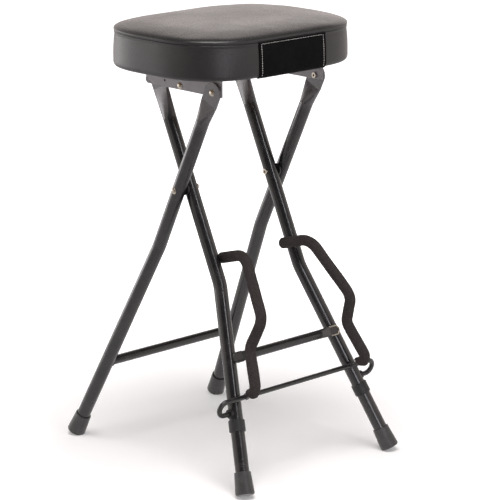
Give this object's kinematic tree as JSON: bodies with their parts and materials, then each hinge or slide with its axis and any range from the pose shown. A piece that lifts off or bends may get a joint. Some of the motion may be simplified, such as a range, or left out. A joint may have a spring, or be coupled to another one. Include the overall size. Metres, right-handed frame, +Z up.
{
  "type": "folding guitar stool",
  "caption": "Tall folding stool with a padded oblong seat, crossed tubular legs with rubber feet, and a foam-covered cradle on the front legs that swings down to hold a guitar.",
  "frame": {"origin": "on the floor, midway between the four feet", "axes": "+X to the right as seen from the front, +Y to the rear, +Z up; the front has the suede patch and the cradle"},
  "size_m": [0.362, 0.4433, 0.7123],
  "materials": {
    "black_paint": "satin black powder coat",
    "black_wire": "satin black paint",
    "nickel": "dull nickel plate",
    "washer_plastic": "matt black",
    "foot_rubber": "matt dark grey",
    "grip_foam": "matt closed-cell foam",
    "seat_vinyl": "satin grained vinyl",
    "patch_suede": "matt suede",
    "board_wood": "raw plywood"
  },
  "bodies": {
    "rear_frame": {"rear_leg_left": "black_paint", "rear_leg_right": "black_paint", "rear_foot_left": "foot_rubber", "rear_foot_right": "foot_rubber", "rear_crossbar": "black_paint", "cross_pivot_rivet_left": "nickel", "cross_pivot_rivet_right": "nickel", "cross_pivot_washer_left": "washer_plastic", "cross_pivot_washer_right": "washer_plastic", "seat_pivot_rivet_left": "nickel", "seat_pivot_rivet_right": "nickel"},
    "front_frame": {"front_leg_left": "black_paint", "front_leg_right": "black_paint", "front_foot_left": "foot_rubber", "front_foot_right": "foot_rubber", "front_crossbar": "black_paint", "link_pin_left": "nickel", "link_pin_right": "nickel", "link_spacer_left": "nickel", "link_spacer_right": "nickel", "leg_collar_left": "washer_plastic", "leg_collar_right": "washer_plastic", "cradle_grommet_left": "washer_plastic", "cradle_grommet_right": "washer_plastic"},
    "seat": {"seat_cushion": "seat_vinyl", "seat_board": "board_wood", "front_patch": "patch_suede", "bracket_screws": "nickel", "seat_bracket_left": "black_paint", "seat_bracket_right": "black_paint", "link_pivot_rivet_left": "nickel", "link_pivot_rivet_right": "nickel"},
    "link_left": {"fold_link_left": "black_paint", "link_end_rivet_left": "black_paint"},
    "link_right": {"fold_link_right": "black_paint", "link_end_rivet_right": "black_paint"},
    "guitar_cradle": {"cradle_rod": "black_wire", "cradle_arm_left": "black_wire", "cradle_arm_right": "black_wire", "foam_sleeve_left": "grip_foam", "foam_sleeve_right": "grip_foam", "arm_tip_left": "foot_rubber", "arm_tip_right": "foot_rubber"}
  },
  "joints": [
    {"name": "frame_fold", "type": "hinge", "parent": "rear_frame", "child": "front_frame", "pos_m": [0, -0.00364, 0.44672], "axis": [1, 0, 0], "range_deg": [0, 45]},
    {"name": "seat_fold", "type": "hinge", "parent": "rear_frame", "child": "seat", "pos_m": [0, -0.0835, 0.613], "axis": [1, 0, 0], "range_deg": [0, 102.65]},
    {"name": "link_left_fold", "type": "hinge", "parent": "seat", "child": "link_left", "pos_m": [-0.1057, -0.005, 0.613], "axis": [1, 0, 0], "range_deg": [-166.98, 0]},
    {"name": "link_right_fold", "type": "hinge", "parent": "seat", "child": "link_right", "pos_m": [0.1057, -0.005, 0.613], "axis": [1, 0, 0], "range_deg": [-166.98, 0]},
    {"name": "cradle_swing", "type": "hinge", "parent": "front_frame", "child": "guitar_cradle", "pos_m": [0, -0.15523, 0.12], "axis": [1, 0, 0], "range_deg": [0, 94]}
  ],
  "couplings": [
    {"joint": "seat_fold", "follows": "frame_fold", "ratio": 2.281},
    {"joint": "link_left_fold", "follows": "frame_fold", "ratio": -3.7104},
    {"joint": "link_right_fold", "follows": "frame_fold", "ratio": -3.7104}
  ]
}
